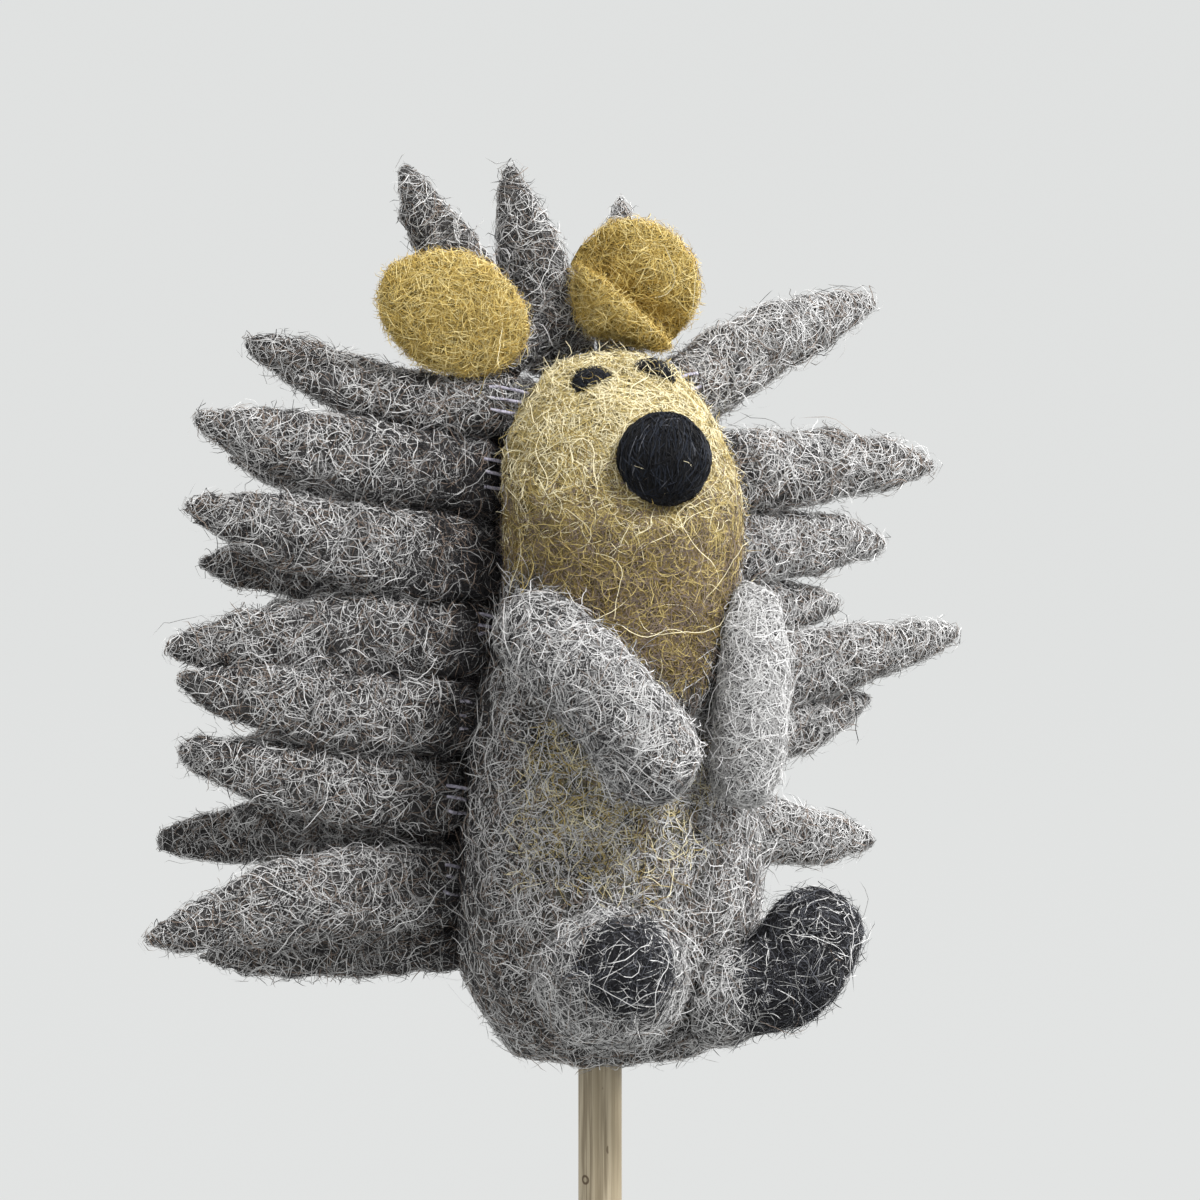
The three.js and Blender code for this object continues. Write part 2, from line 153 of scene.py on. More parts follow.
def from_hem(points):
    """Each point's x, y and height above the pocket's mouth, in mm."""
    x, y, z = points.T / MM
    return x, y, z - HEM / MM


def lumps(points, size, seed):
    """Smooth noise from -1 to 1 with features of about that size."""
    shift = Vector((seed * 3.7, seed * 1.3, seed * 2.9))
    return np.array([noise.noise(Vector(p) / size + shift) for p in points])


def coordinates(mesh):
    co = np.empty(len(mesh.vertices) * 3, np.float32)
    mesh.vertices.foreach_get("co", co)
    return co.reshape(-1, 3).astype(float)


def move_points(mesh, points):
    mesh.vertices.foreach_set("co", points.astype(np.float32).ravel())
    mesh.update()


def normals_of(mesh):
    normals = np.empty(len(mesh.vertices) * 3, np.float32)
    mesh.vertex_normals.foreach_get("vector", normals)
    return normals.reshape(-1, 3).astype(float)


def triangles_of(mesh):
    mesh.calc_loop_triangles()
    corners = np.empty(len(mesh.loop_triangles) * 3, np.int32)
    mesh.loop_triangles.foreach_get("vertices", corners)
    return corners.reshape(-1, 3)


def new_object(name, data):
    made = bpy.data.objects.new(name, data)
    bpy.context.scene.collection.objects.link(made)
    return made


# ------------------------------------------------------------------ camera, light and stage


def toward_camera():
    level = math.cos(CAMERA_ELEVATION)
    aside, ahead = math.sin(CAMERA_AZIMUTH) * level, math.cos(CAMERA_AZIMUTH) * level
    return Vector((aside, -ahead, math.sin(CAMERA_ELEVATION)))


def add_camera():
    camera = new_object("camera", bpy.data.cameras.new("camera"))
    camera.data.lens = CAMERA_LENS
    camera.data.sensor_width = SENSOR
    distance = WIDTH_SEEN * CAMERA_LENS / SENSOR
    camera.location = Vector((0, 0, AIM_HEIGHT)) + toward_camera() * distance
    camera.rotation_euler = toward_camera().to_track_quat("Z", "Y").to_euler()
    camera.data.clip_start = 0.01
    bpy.context.scene.camera = camera


def add_stage():
    """A pale bowl that is floor, backdrop and soft light in one."""
    floor_radius, bend, wall_height = 1.4, 0.6, 2.2
    bend_steps, turns = 8, 64
    profile = [(0.0, 0.0), (floor_radius, 0.0)]
    for i in range(1, bend_steps + 1):
        angle = math.pi / 2 * i / bend_steps
        profile.append((floor_radius + bend * math.sin(angle), bend * (1 - math.cos(angle))))
    profile.append((floor_radius + bend, wall_height))
    points = [(0.0, 0.0, 0.0)]
    faces = []
    for ring, (radius, height) in enumerate(profile[1:]):
        for i in range(turns):
            angle = 2 * math.pi * i / turns
            points.append((radius * math.cos(angle), radius * math.sin(angle), height))
            a = 1 + ring * turns + i
            b = 1 + ring * turns + (i + 1) % turns
            if ring == 0:
                faces.append((0, a, b))
            else:
                faces.append((a - turns, a, b, b - turns))
    mesh = bpy.data.meshes.new("stage")
    mesh.from_pydata(points, [], faces)
    mesh.shade_smooth()
    bowl = new_object("stage", mesh)
    material, shader = new_material("stage_paper", (0.012, 0.012, 0.012), 0.9)
    shader.inputs["Emission Color"].default_value = (0.985, 1.0, 0.993, 1)
    shader.inputs["Emission Strength"].default_value = 0.745
    shader.inputs["Specular IOR Level"].default_value = 0
    mesh.materials.append(material)


def add_lamp(name, aside, height, forward, size, power):
    """An area lamp, placed in metres from the puppet as the camera sees it."""
    lamp = new_object(name, bpy.data.lights.new(name, "AREA"))
    lamp.data.size = size
    lamp.data.energy = power
    cos, sin = math.cos(CAMERA_AZIMUTH), math.sin(CAMERA_AZIMUTH)
    away = Vector((aside * cos + forward * sin, aside * sin - forward * cos, height))
    lamp.location = away + Vector((0, 0, AIM_HEIGHT))
    lamp.rotation_euler = away.to_track_quat("Z", "Y").to_euler()


def add_light():
    world = bpy.data.worlds.new("world")
    world.use_nodes = True
    sky = world.node_tree.nodes["Background"]
    sky.inputs["Color"].default_value = (1, 1, 1, 1)
    sky.inputs["Strength"].default_value = 0.7
    bpy.context.scene.world = world
    bpy.context.scene.view_settings.view_transform = "Standard"
    add_lamp("key", aside=0.55, height=0.75, forward=0.50, size=0.28, power=14.5)
    add_lamp("fill", aside=-0.6, height=0.60, forward=0.5, size=0.5, power=1.5)
    add_lamp("rim", aside=0.80, height=0.35, forward=-0.30, size=0.35, power=10.0)
    add_lamp("back", aside=-0.65, height=0.50, forward=-0.60, size=0.45, power=5.0)


# ------------------------------------------------------------------ materials


def new_material(name, color, roughness, sheen=0.0):
    material = bpy.data.materials.new(name)
    material.use_nodes = True
    shader = material.node_tree.nodes["Principled BSDF"]
    shader.inputs["Base Color"].default_value = (*color, 1)
    shader.inputs["Roughness"].default_value = roughness
    shader.inputs["Specular IOR Level"].default_value = 0.2
    shader.inputs["Sheen Weight"].default_value = sheen
    shader.inputs["Sheen Roughness"].default_value = 0.5
    return material, shader


class Nodes:
    """Short calls for building one material's node tree."""

    def __init__(self, material):
        self.tree = material.node_tree

    def add(self, kind, **settings):
        node = self.tree.nodes.new("ShaderNode" + kind)
        for key, value in settings.items():
            setattr(node, key, value)
        return node

    def link(self, source, target):
        self.tree.links.new(source, target)

    def place(self, scale=(1, 1, 1), offset=(0, 0, 0)):
        """Object coordinates, scaled and moved."""
        coordinates = self.add("TexCoord")
        mapping = self.add("Mapping")
        mapping.inputs["Scale"].default_value = scale
        mapping.inputs["Location"].default_value = offset
        self.link(coordinates.outputs["Object"], mapping.inputs["Vector"])
        return mapping.outputs["Vector"]

    def noise(self, place, scale, detail=2.0, distortion=0.0):
        node = self.add("TexNoise")
        node.inputs["Scale"].default_value = scale
        node.inputs["Detail"].default_value = detail
        node.inputs["Distortion"].default_value = distortion
        self.link(place, node.inputs["Vector"])
        return node.outputs["Fac"]

    def math(self, operation, a, b=None):
        node = self.add("Math", operation=operation)
        for value, socket in ((a, node.inputs[0]), (b, node.inputs[1])):
            if isinstance(value, (int, float)):
                socket.default_value = value
            elif value is not None:
                self.link(value, socket)
        return node.outputs[0]

    def spread(self, value, low, high, to_low=0.0, to_high=1.0):
        node = self.add("MapRange", interpolation_type="SMOOTHSTEP")
        self.link(value, node.inputs["Value"])
        node.inputs["From Min"].default_value = low
        node.inputs["From Max"].default_value = high
        node.inputs["To Min"].default_value = to_low
        node.inputs["To Max"].default_value = to_high
        return node.outputs["Result"]

    def mix(self, share, a, b):
        node = self.add("MixRGB")
        self.link(share, node.inputs["Fac"])
        for value, socket in ((a, node.inputs["Color1"]), (b, node.inputs["Color2"])):
            if isinstance(value, tuple):
                socket.default_value = (*value, 1)
            else:
                self.link(value, socket)
        return node.outputs["Color"]

    def shaded(self, color, factor):
        """The colour made that many times as bright."""
        node = self.add("VectorMath", operation="SCALE")
        self.link(color, node.inputs[0])
        node.inputs["Scale"].default_value = factor
        return node.outputs["Vector"]

    def bump(self, height, distance, shader):
        node = self.add("Bump")
        node.inputs["Distance"].default_value = distance
        self.link(height, node.inputs["Height"])
        self.link(node.outputs["Normal"], shader.inputs["Normal"])


def felt_material(slot):
    """Matted wool in the tone that each point carries: blotches under a web of fine curly lines."""
    name = "felted_" + slot
    if name in bpy.data.materials:
        return bpy.data.materials[name]
    material, shader = new_material(name, GREY_TONE, 0.95, sheen=0.06)
    nodes = Nodes(material)
    tone = nodes.add("Attribute", attribute_name="tone").outputs["Color"]
    blotch = nodes.spread(nodes.noise(nodes.place(), 420, 3.0, 0.6), 0.34, 0.66)
    color = nodes.mix(blotch, nodes.shaded(tone, 0.22), tone)
    web = None
    for i, scale in enumerate((700, 1100, 1700)):
        ridged = nodes.noise(nodes.place(offset=(0.31 * i, 0.17 * i, 0.23 * i)), scale, 1.0, 1.6)
        from_middle = nodes.math("ABSOLUTE", nodes.math("SUBTRACT", ridged, 0.5))
        line = nodes.spread(from_middle, 0.0, 0.028, 1.0, 0.0)
        web = line if web is None else nodes.math("MAXIMUM", web, line)
    color = nodes.mix(nodes.math("MULTIPLY", web, 0.7), color, nodes.shaded(tone, 2.1))
    nodes.link(color, shader.inputs["Base Color"])
    relief = nodes.math("ADD", web, nodes.math("MULTIPLY", blotch, 1.5))
    nodes.bump(relief, 0.12 * MM, shader)
    return material


def fibre_material(shade, color):
    name = "wool_" + shade
    if name in bpy.data.materials:
        return bpy.data.materials[name]
    return new_material(name, color, 0.75, sheen=0.04)[0]


def bamboo_material():
    """Lengthwise grain with brown specks, and the ring-shaped knot mark below the puppet."""
    material, shader = new_material("bamboo", (0.30, 0.24, 0.15), 0.42)
    nodes = Nodes(material)
    grain = nodes.noise(nodes.place(scale=(1, 1, 0.03)), 2600, 4.0, 0.3)
    broad = nodes.noise(nodes.place(scale=(1, 1, 0.015)), 520, 2.0)
    color = nodes.mix(nodes.spread(grain, 0.35, 0.65), (0.225, 0.182, 0.120), (0.430, 0.365, 0.260))
    color = nodes.mix(nodes.spread(broad, 0.40, 0.62, 0.0, 0.75), color, (0.290, 0.238, 0.155))
    speck = nodes.noise(nodes.place(scale=(1, 1, 0.45)), 1500, 1.0)
    color = nodes.mix(nodes.spread(speck, 0.76, 0.82, 0.0, 0.7), color, (0.090, 0.058, 0.030))
    mark = nodes.add("VectorMath", operation="DISTANCE")
    nodes.link(nodes.place(), mark.inputs[0])
    mark.inputs[1].default_value = (-2.39 * MM, -0.74 * MM, HEM - 15.2 * MM)
    ring = nodes.math("ABSOLUTE", nodes.math("SUBTRACT", mark.outputs["Value"], 0.42 * MM))
    color = nodes.mix(nodes.spread(ring, 0.05 * MM, 0.22 * MM, 0.85, 0.0), color, (0.060, 0.034, 0.016))
    nodes.link(color, shader.inputs["Base Color"])
    nodes.link(nodes.spread(grain, 0.3, 0.7, 0.55, 0.35), shader.inputs["Roughness"])
    nodes.bump(grain, 0.05 * MM, shader)
    return material


def thread_material():
    """Pale lilac thread, mottled by its twist."""
    material, shader = new_material("sewing_thread", (0.30, 0.29, 0.35), 0.7, sheen=0.2)
    nodes = Nodes(material)
    twist = nodes.noise(nodes.place(), 2400, 2.0, 1.0)
    color = nodes.mix(nodes.spread(twist, 0.35, 0.65), (0.20, 0.19, 0.24), (0.46, 0.44, 0.52))
    nodes.link(color, shader.inputs["Base Color"])
    nodes.bump(twist, 0.06 * MM, shader)
    return material


# ------------------------------------------------------------------ attaching, and the points at the root


def attach(piece, body):
    """Rides a body by its name. For (body, start, end) it stays where it is, its place baked into its mesh.
    """
    if isinstance(body, str):
        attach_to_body(piece, body)
    else:
        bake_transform(piece)


def bending(body, nodes, reach, direction=None):
    """A body with two points: the nodes' root, and reach mm further out.
    direction runs from root to tip. Without one it is the nodes' long way, outwards from the stick."""
    points = node_mesh(*nodes)[0]
    centre = points.mean(axis=0)
    if direction is None:
        axis = long_way(points)
        axis = axis * np.sign(axis[:2] @ centre[:2])
    else:
        axis = unit(np.array(direction))
    start = centre + axis * ((points - centre) @ axis).min()
    return body, tuple(start), tuple(start + axis * reach * MM)


# ------------------------------------------------------------------ felt cores


def node_mesh(*nodes):
    """The points and triangles of some CAD nodes, together."""
    points, faces, first = [], [], 0
    for node in nodes:
        mesh = frame["nodes"][node].data
        co = np.empty(len(mesh.vertices) * 3, np.float32)
        mesh.vertices.foreach_get("co", co)
        points.append(co.reshape(-1, 3))
        faces.append(triangles_of(mesh) + first)
        first += len(mesh.vertices)
    return np.concatenate(points), np.concatenate(faces)


def remeshed(name, points, faces, voxel, smooth_steps):
    """One smooth closed mesh round some solids."""
    rough_mesh = bpy.data.meshes.new(name + "_rough")
    rough_mesh.from_pydata(points.tolist(), [], faces.tolist())
    rough = new_object(name + "_rough", rough_mesh)
    voxels = rough.modifiers.new("voxels", "REMESH")
    voxels.mode = "VOXEL"
    voxels.voxel_size = voxel
    smooth = rough.modifiers.new("smooth", "SMOOTH")
    smooth.factor = 0.5
    smooth.iterations = smooth_steps
    evaluated = rough.evaluated_get(bpy.context.evaluated_depsgraph_get())
    mesh = bpy.data.meshes.new_from_object(evaluated)
    mesh.name = name
    bpy.data.objects.remove(rough)
    mesh.shade_smooth()
    return mesh


def felt_core(name, nodes, body, slot, tone, voxel=0.6, smooth=6, swell=0.35, lump=0.35, shape=None):
    """A felted piece in place of some CAD nodes. tone is its colour, or gives one for each point. shape, if
    given, moves the remeshed points. Sizes are in mm."""
    mesh = remeshed(name, *node_mesh(*nodes), voxel * MM, smooth)
    points = coordinates(mesh)
    if shape:
        points = shape(points)
        move_points(mesh, points)
    seed = sum(map(ord, name)) % 23
    bumps = lumps(points, 4.5 * MM, seed) + 0.5 * lumps(points, 1.7 * MM, seed + 5)
    points += normals_of(mesh) * ((swell + lump * bumps) * MM)[:, None]
    move_points(mesh, points)
    tones = tone(points) if callable(tone) else np.tile(tone, (len(points), 1))
    tones = tones * (1 + 0.3 * lumps(points, 6 * MM, seed + 9))[:, None]
    colors = np.concatenate([tones, np.ones((len(points), 1))], axis=1).astype(np.float32)
    carried = mesh.attributes.new("tone", "FLOAT_COLOR", "POINT")
    carried.data.foreach_set("color", colors.ravel())
    mesh.materials.clear()
    mesh.materials.append(felt_material(slot))
    core = new_object(name, mesh)
    attach(core, body)
    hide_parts(*nodes)
    return Surface(mesh)


# ------------------------------------------------------------------ fibres


def ribbon_faces(count, steps):
    """Triangles of count tapering ribbons with that many points each: a point, pairs, and a point."""
    pairs = steps - 2
    last = 1 + 2 * pairs
    one = [(0, 2, 1), (last, last - 2, last - 1)]
    for pair in range(pairs - 1):
        a = 1 + 2 * pair
        one += [(a, a + 3, a + 2), (a, a + 1, a + 3)]
    firsts = np.arange(count) * (last + 1)
    return (np.array(one)[None] + firsts[:, None, None]).reshape(-1, 3), len(one)


def fibre_mesh(name, paths, outward, widths, shades, palette):
    """One mesh of many flat fibres, each rolled a little about its length. paths and outward are
    (fibre, point, 3), and shades picks each one's material."""
    count, steps = paths.shape[:2]
    along = unit(np.gradient(paths, axis=1))
    side = unit(np.cross(along, outward))
    roll = rng.uniform(-0.9, 0.9, (count, 1, 1))
    side = side * np.cos(roll) + np.cross(along, side) * np.sin(roll)
    reach = side[:, 1:-1] * widths[:, None, None] / 2
    pairs = np.stack([paths[:, 1:-1] - reach, paths[:, 1:-1] + reach], axis=2).reshape(count, -1, 3)
    points = np.concatenate([paths[:, :1], pairs, paths[:, -1:]], axis=1).reshape(-1, 3)
    faces, faces_each = ribbon_faces(count, steps)

    mesh = bpy.data.meshes.new(name)
    mesh.vertices.add(len(points))
    mesh.vertices.foreach_set("co", points.astype(np.float32).ravel())
    mesh.loops.add(faces.size)
    mesh.loops.foreach_set("vertex_index", faces.astype(np.int32).ravel())
    mesh.polygons.add(len(faces))
    mesh.polygons.foreach_set("loop_start", np.arange(0, faces.size, 3, dtype=np.int32))
    mesh.polygons.foreach_set("material_index", np.repeat(shades, faces_each).astype(np.int32))
    mesh.update(calc_edges=True)
    for shade, (color, _) in palette.items():
        mesh.materials.append(fibre_material(shade, color))
    return mesh


class Surface:
    """A felt core's surface, for scattering fibres on it."""

    def __init__(self, mesh):
        self.points = coordinates(mesh)
        self.faces = triangles_of(mesh)
        a, b, c = (self.points[self.faces[:, i]] for i in range(3))
        cross = np.cross(b - a, c - a)
        self.areas = np.linalg.norm(cross, axis=1) / 2
        self.normals = unit(cross)
        self.tree = BVHTree.FromPolygons(self.points.tolist(), self.faces.tolist())

    def area_mm2(self):
        return self.areas.sum() / MM**2

    def scatter(self, count):
        face = rng.choice(len(self.faces), count, p=self.areas / self.areas.sum())
        r1, r2 = np.sqrt(rng.random(count)), rng.random(count)
        share = np.stack([1 - r1, r1 * (1 - r2), r1 * r2], axis=1)
        points = (self.points[self.faces[face]] * share[:, :, None]).sum(axis=1)
        return points, self.normals[face]

    def nearest(self, places):
        found, normals = np.empty_like(places), np.empty_like(places)
        for i, place in enumerate(places):
            point, normal, _, _ = self.tree.find_nearest(place)
            found[i] = point
            normals[i] = normal
        return found, normals


def wander(surface, roots, normals, lengths, curl, lie, lift, steps, along=None, combed=0.0):
    """Paths that start at the roots and curl over the surface. curl is in radians per mm, lie is the height
    above the surface and lift the extra height at the far end, all one value per fibre. along is the
    direction in which the fibres are combed, and combed is how much."""
    count = len(roots)
    heading = unit(rng.normal(size=roots.shape))
    if along is not None:
        way = rng.choice([-1.0, 1.0], count)[:, None] * np.asarray(along)[None]
        heading = heading * (1 - combed) + way * combed
    heading = unit(heading - normals * (heading * normals).sum(1, keepdims=True))
    step = lengths / (steps - 1)
    turn = rng.normal(0, 0.5, count) * curl
    sway = rng.uniform(0, 2 * math.pi, count)
    place = roots.copy()
    paths, outward = [], []
    for i in range(steps):
        share = i / (steps - 1)
        height = lie + lift * share**1.8 + 0.10 * MM * np.sin(sway + share * lengths / MM * 1.4)
        paths.append(place + normals * np.maximum(height, 0.0)[:, None])
        outward.append(normals)
        bend = ((turn + curl * np.sin(sway + share * lengths / MM * 0.9)) * step / MM)[:, None]
        heading = heading * np.cos(bend) + np.cross(normals, heading) * np.sin(bend)
        place, normals = surface.nearest(place + heading * step[:, None])
        heading = unit(heading - normals * (heading * normals).sum(1, keepdims=True))
    return np.stack(paths, axis=1), np.stack(outward, axis=1)


def chosen_shades(palette, roots, bias):
    """A palette entry for each fibre, lighter in some patches and darker in others. bias darkens more."""
    shares = np.cumsum([share for _, share in palette.values()])
    pick = rng.random(len(roots)) + 0.16 * lumps(roots, 5 * MM, 11)
    if bias is not None:
        pick = pick + bias(roots)
    return np.searchsorted(shares[:-1] / shares[-1], pick)


def add_fibres(
    name,
    surface,
    body,
    palette,
    per_mm2=5.2,
    length=(1.8, 5.0),
    width=(0.055, 0.095),
    curl=0.75,
    lie=(0.0, 0.30),
    loose=0.16,
    flyaway=(0.4, 1.4),
    steps=7,
    along=None,
    combed=0.0,
    keep=None,
    bias=None,
):
    """Scatters fibres over a core. loose is the share whose far ends stand off it, by flyaway. keep says
    which roots stay, and bias how much darker they are. Sizes are in mm."""
    roots, normals = surface.scatter(int(surface.area_mm2() * per_mm2 * DENSITY))
    if keep:
        kept = keep(roots)
        roots, normals = roots[kept], normals[kept]
    count = len(roots)
    lengths = rng.uniform(*length, count) * MM
    curls = rng.uniform(0.3, 1.7, count) * curl
    is_loose = rng.random(count) < loose
    lifts = np.where(is_loose, rng.uniform(*flyaway, count), rng.uniform(0, 0.15, count)) * MM
    lies = rng.uniform(*lie, count) * MM
    paths, outward = wander(surface, roots, normals, lengths, curls, lies, lifts, steps, along, combed)
    widths = rng.uniform(*width, count) * MM
    mesh = fibre_mesh(name, paths, outward, widths, chosen_shades(palette, roots, bias), palette)
    fibres = new_object(name, mesh)
    attach(fibres, body)


def add_strays(name, surface, body, palette, per_mm2=0.03, keep=None):
    """A few long fine hairs that loop well clear of the felt."""
    add_fibres(
        name,
        surface,
        body,
        palette,
        per_mm2=per_mm2,
        length=(6, 13),
        width=(0.06, 0.09),
        curl=0.30,
        loose=0.7,
        flyaway=(0.8, 3.0),
        steps=14,
        keep=keep,
    )


# ------------------------------------------------------------------ the felt skin of body and head


def beige_share(points):
    """How far each point of the skin belongs to the beige face and bib, from 0 to 1."""
    x, y, height = from_hem(points)
    edge = 2.2 * lumps(points, 5 * MM, 3) + 1.2 * lumps(points, 1.5 * MM, 4)
    front = smooth_share(y + 0.6 * edge, 1.0, -2.0)
    bib_edge = 40.5 + 0.085 * (x + 1.0) ** 2
    return front * smooth_share(height + edge, bib_edge - 1.0, bib_edge + 3.5)


def crown_share(points):
    """From 0 on the bib to 1 on the forehead."""
    return smooth_share(from_hem(points)[2], 50, 76)


def dark_side_and_shade_share(points):
    """1 where the skin is the dark wool behind the face and between the spikes, darkened further there as
    painted shade.
    """
    _, y, height = from_hem(points)
    return smooth_share(y, -3.0, 1.5) * smooth_share(height, 6, 20)


def blush_share(points):
    """1 in the middle of the yellow-green patch under the puppet's right arm."""
    x, y, height = from_hem(points)
    return np.exp(-(((x + 7) / 9) ** 2) - ((height - 30) / 9) ** 2) * smooth_share(y, -6, -11)


def skin_tone(points):
    ground = mixed(blush_share(points), GREY_TONE, BLUSH_TONE)
    # Dark wool with painted shade behind the face and between the spikes.
    ground = mixed(dark_side_and_shade_share(points), ground, DARK_WOOL_AND_SHADE_TONE)
    return mixed(beige_share(points), ground, mixed(crown_share(points), OCHRE_TONE, CREAM_TONE))


def in_pocket(points):
    x, y, height = from_hem(points)
    return (np.hypot(x, y) < POCKET_RADIUS) & (height < POCKET_TOP)


def make_skin():
    """One felt from the hem to the crown: the grey body with the beige face and bib."""
    skin = felt_core(
        "felt_skin", ["body_tube", "face_cap"], "puppet", "grey_felt", skin_tone,
        voxel=0.7, smooth=10, swell=0.2,
    )

    def on_face(points):
        return (beige_share(points) > 0.5) & ~in_pocket(points)

    def on_belly(points):
        return (beige_share(points) <= 0.5) & ~in_pocket(points) & (points[:, 1] < 0)

    def on_back(points):
        return (beige_share(points) <= 0.5) & ~in_pocket(points) & (points[:, 1] >= 0)

    def on_blush(points):
        return blush_share(points) > 0.25 + 0.25 * lumps(points, 3 * MM, 12)

    def lighter_crown(points):
        return 0.54 - 0.76 * crown_share(points)

    # Fibres darker behind the face and between the spikes: dark wool and painted shade.
    def darker_side_and_shade(points):
        return 0.45 * dark_side_and_shade_share(points)

    add_fibres(
        "face_fibres", skin, "puppet", BEIGE_WOOL,
        per_mm2=8.5, length=(1.5, 4.2), width=(0.045, 0.08), keep=on_face, bias=lighter_crown,
    )
    add_fibres(
        "belly_fibres", skin, "puppet", GREY_WOOL, per_mm2=5, keep=on_belly, bias=darker_side_and_shade
    )
    add_fibres("blush_fibres", skin, "puppet", BEIGE_WOOL, per_mm2=2.5, keep=on_blush)
    add_fibres(
        "back_fibres", skin, "puppet", GREY_WOOL, per_mm2=3.5, keep=on_back, bias=darker_side_and_shade
    )
    add_strays("face_strays", skin, "puppet", BEIGE_WOOL, per_mm2=0.06, keep=on_face)
    add_strays("belly_strays", skin, "puppet", PALE_WOOL, per_mm2=0.06, keep=on_belly)
    return skin


# ------------------------------------------------------------------ limbs, ears, nose and eyes


def make_arms():
    """The left arm is painted lighter than the right: painted light on the left arm, painted shade on the
    right.
    """
    # The left arm's lighter tone and its -0.22 fibre bias are painted light; the right arm's 0.08 bias is
    # painted shade.
    for side, tone, shade in (("left", PAINTED_LIGHT_PALE_TONE, -0.22), ("right", PALE_TONE, 0.08)):
        name = "arm_" + side
        body = bending(name, [name], ARM_BEND)
        arm = felt_core("felt_" + name, [name], body, "pale_grey_felt", tone, swell=0.0)
        add_fibres(
            name + "_fibres", arm, body, PALE_WOOL, per_mm2=7,
            bias=lambda points: np.full(len(points), shade),
        )
        add_strays(name + "_strays", arm, body, PALE_WOOL, per_mm2=0.08)


def make_leg(side, blend):
    """A leg and its charcoal foot as one piece of felt. blend is the width in mm over which one colour turns
    into the other."""
    name = "leg_" + side
    nodes = [name, "foot_" + side]
    foot = BVHTree.FromPolygons(*(part.tolist() for part in node_mesh("foot_" + side)))

    def foot_share(points):
        away = np.array([foot.find_nearest(p)[3] for p in points]) / MM
        away += 0.4 * blend * lumps(points, 2.5 * MM, 6)
        return smooth_share(away, 0.5 * blend + 0.6, -0.3 * blend + 0.6)

    def tone(points):
        return mixed(foot_share(points), PALE_TONE, COAL_TONE)

    def on_leg(points):
        return foot_share(points) < 0.5

    def on_foot(points):
        return foot_share(points) >= 0.5

    body = bending(name, nodes, LEG_BEND)
    leg = felt_core("felt_" + name, nodes, body, "pale_grey_felt", tone, swell=0.2)
    add_fibres(name + "_fibres", leg, body, PALE_WOOL, per_mm2=6, keep=on_leg)
    add_fibres(
        "foot_" + side + "_fibres", leg, body, COAL_WOOL,
        per_mm2=6, length=(2.0, 6.0), keep=on_foot,
    )
    add_strays(name + "_strays", leg, body, PALE_WOOL, per_mm2=0.08)


def disc_axes(points):
    """The centre of a disc standing up, and its level, upward and forward directions."""
    centre = points.mean(axis=0)
    _, _, axes = np.linalg.svd(points - centre, full_matrices=False)
    forward = axes[2] if axes[2][1] < 0 else -axes[2]
    up = unit(np.array([0, 0, 1]) - forward * forward[2])
    return centre, np.cross(up, forward), up, forward


def past_crease(a, b):
    """How far a place on the ear lies beyond the crease, towards its upper outer side, in mm."""
    return a * math.sin(CREASE) + b * math.cos(CREASE) + 2.8


def cupped(points):
    """Cups the ear, and folds its lower inner side forwards over a deep crease."""
    centre, level, up, forward = disc_axes(points)
    local = points - centre
    a, b, t = local @ level / MM, local @ up / MM, local @ forward / MM
    past = past_crease(a, b)
    front = smooth_share(t, -1.2, 0.6)
    lip = smooth_share(past, 0.2, -0.9) * smooth_share(past, -6.5, -2.0)
    groove = smooth_share(past, -0.3, 0.4) * smooth_share(past, 6.5, 0.4)
    rim = smooth_share(np.hypot(a, b), 4.6, 7.2) * smooth_share(past, 1.5, 5.0)
    t = t + front * (2.2 * lip - 2.0 * groove + 1.0 * rim)
    shift = 0.9 * lip * front
    a, b = a + shift * math.sin(CREASE) - 0.4, b + shift * math.cos(CREASE) - 0.4
    return centre + (np.outer(a, level) + np.outer(b, up) + np.outer(t, forward)) * MM


def hollow_share(points):
    """How deep in the cupped ear's hollow each point lies, from 0 to 1."""
    centre, level, up, forward = disc_axes(points)
    local = (points - centre) / MM
    past = past_crease(local @ level, local @ up)
    front = smooth_share(local @ forward, -1.5, 0.5)
    return front * smooth_share(past, -0.2, 0.8) * smooth_share(past, 7.5, 1.5)


# The mustard deepens to orange in the hollow by the crease: painted shade.
def cupped_tone_with_hollow_shade(points):
    return mixed(hollow_share(points), MUSTARD_TONE, HOLLOW_SHADE_TONE)


# Fibres darker deep in the hollow: painted shade.
def painted_hollow_shade(points):
    return 0.45 * hollow_share(points)


def make_ear(side, direction, tone=MUSTARD_TONE, shape=None, bias=None):
    """A round mustard pad. direction runs from its root to its tip."""
    name = "ear_" + side
    body = bending(name, [name], EAR_BEND, direction)
    ear = felt_core(
        "felt_" + name, [name], body, "mustard_felt", tone, voxel=0.35, swell=-0.1, lump=0.3, shape=shape
    )
    add_fibres(
        name + "_fibres", ear, body, MUSTARD_WOOL, per_mm2=13, length=(1.4, 3.6),
        width=(0.04, 0.07), curl=0.5, loose=0.45, flyaway=(0.3, 1.0), bias=bias,
    )
    add_strays(name + "_strays", ear, body, BEIGE_WOOL, per_mm2=0.04)


def make_nose():
    """A ball wound with long blue-black wool, with a few beige specks."""
    nose = felt_core(
        "felt_nose", ["nose"], "puppet", "black_felt", COAL_TONE, voxel=0.4, swell=-0.25, lump=0.15
    )
    add_fibres(
        "nose_fibres", nose, "puppet", BLACK_WOOL, per_mm2=8, length=(4, 9),
        width=(0.08, 0.13), curl=0.15, lie=(0.0, 0.2), loose=0.02, flyaway=(0.2, 0.6),
        along=(0.15, 0.1, 1.0), combed=0.8,
    )
    add_fibres(
        "nose_specks", nose, "puppet", BEIGE_WOOL, per_mm2=0.12, length=(0.6, 1.5),
        width=(0.03, 0.045), curl=0.5, flyaway=(0.2, 0.4),
    )


